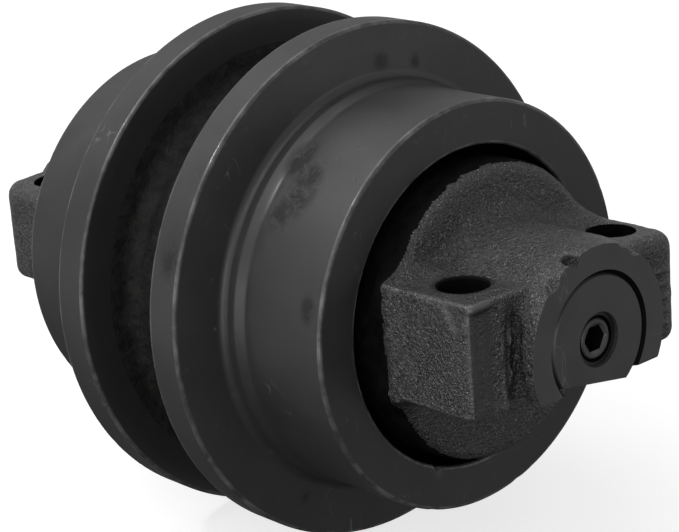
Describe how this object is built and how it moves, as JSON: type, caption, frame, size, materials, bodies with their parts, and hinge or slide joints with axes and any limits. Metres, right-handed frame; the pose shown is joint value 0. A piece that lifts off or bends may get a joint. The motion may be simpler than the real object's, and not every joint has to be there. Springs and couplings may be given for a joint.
{
  "type": "track roller",
  "caption": "Flanged bottom track roller for a crawler machine: a welded steel shell turns on a fixed oil-filled shaft, between cast collars that bolt to the track frame.",
  "frame": {"origin": "centre of the roller on its axis, halfway between the two guide flanges", "axes": "+Y along the roller axis towards the end without the oil plug, +Z away from the collars' mounting faces, +X across the track"},
  "size_m": [0.156, 0.229, 0.156],
  "materials": {
    "roller_paint": "semi-matte black paint over turned and forged steel",
    "weld_paint": "painted weld bead",
    "collar_cast": "black paint over a coarse casting",
    "shaft_steel": "ground journal, ends painted black",
    "plug_paint": "painted steel plug",
    "pin_steel": "plain steel",
    "bush_bronze": "turned bronze",
    "seal_steel": "lapped hard iron",
    "seal_rubber": "moulded nitrile rubber"
  },
  "bodies": {
    "axle": {"shaft": "shaft_steel", "shaft_oring_front": "seal_rubber", "shaft_oring_rear": "seal_rubber", "collar_front": "collar_cast", "collar_rear": "collar_cast", "lock_pin_front": "pin_steel", "lock_pin_rear": "pin_steel", "oil_plug": "plug_paint", "seal_ring_fixed_front": "seal_steel", "seal_ring_fixed_rear": "seal_steel", "seal_rubber_fixed_front": "seal_rubber", "seal_rubber_fixed_rear": "seal_rubber"},
    "roller": {"shell_half_front": "roller_paint", "shell_half_rear": "roller_paint", "centre_weld": "weld_paint", "bush_front": "bush_bronze", "bush_rear": "bush_bronze", "seal_ring_turning_front": "seal_steel", "seal_ring_turning_rear": "seal_steel", "seal_rubber_turning_front": "seal_rubber", "seal_rubber_turning_rear": "seal_rubber"}
  },
  "joints": [
    {"name": "roller_spin", "type": "hinge", "parent": "axle", "child": "roller", "pos_m": [0, 0, 0], "axis": [0, 1, 0], "continuous": true}
  ]
}
